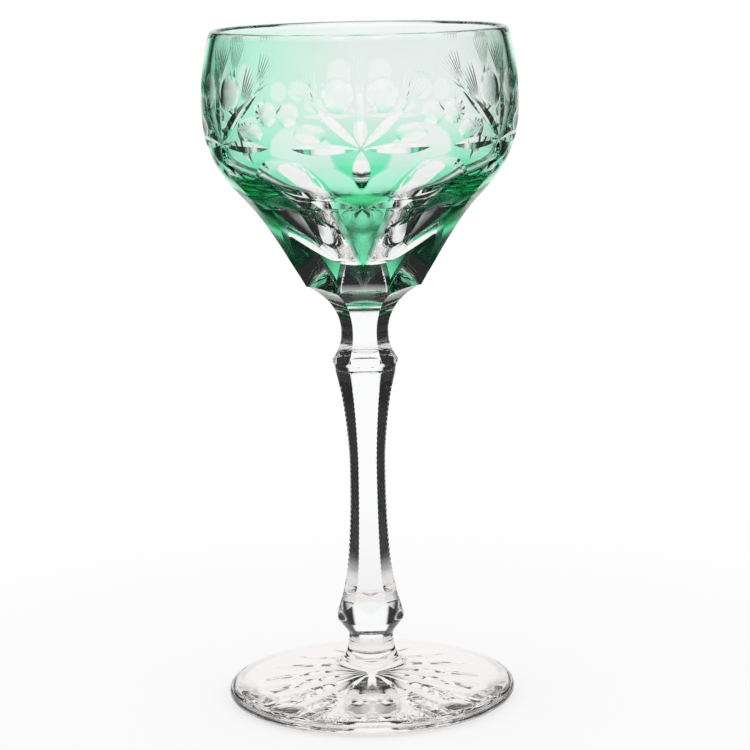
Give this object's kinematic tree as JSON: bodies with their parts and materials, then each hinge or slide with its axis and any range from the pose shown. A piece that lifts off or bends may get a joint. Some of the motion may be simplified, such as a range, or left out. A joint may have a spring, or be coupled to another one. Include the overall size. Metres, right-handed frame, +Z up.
{
  "type": "water goblet",
  "caption": "Tall cut-crystal goblet: green casing cut through to a clear fluted bowl, waisted faceted stem with notched edges, and a round star-cut foot.",
  "frame": {"origin": "centre of the foot's resting ring, on the surface that the goblet stands on", "axes": "+Z up the stem to the rim; -Y is the side seen in the picture, with a motif and a stem flat facing it"},
  "size_m": [0.0926, 0.0924, 0.2],
  "materials": {
    "bowl_glass": "polished clear crystal",
    "casing_glass": "polished green overlay glass",
    "stem_glass": "polished clear crystal",
    "foot_glass": "polished clear crystal"
  },
  "bodies": {
    "root": {"bowl": "bowl_glass", "green_casing": "casing_glass", "stem": "stem_glass", "foot": "foot_glass"}
  },
  "joints": []
}
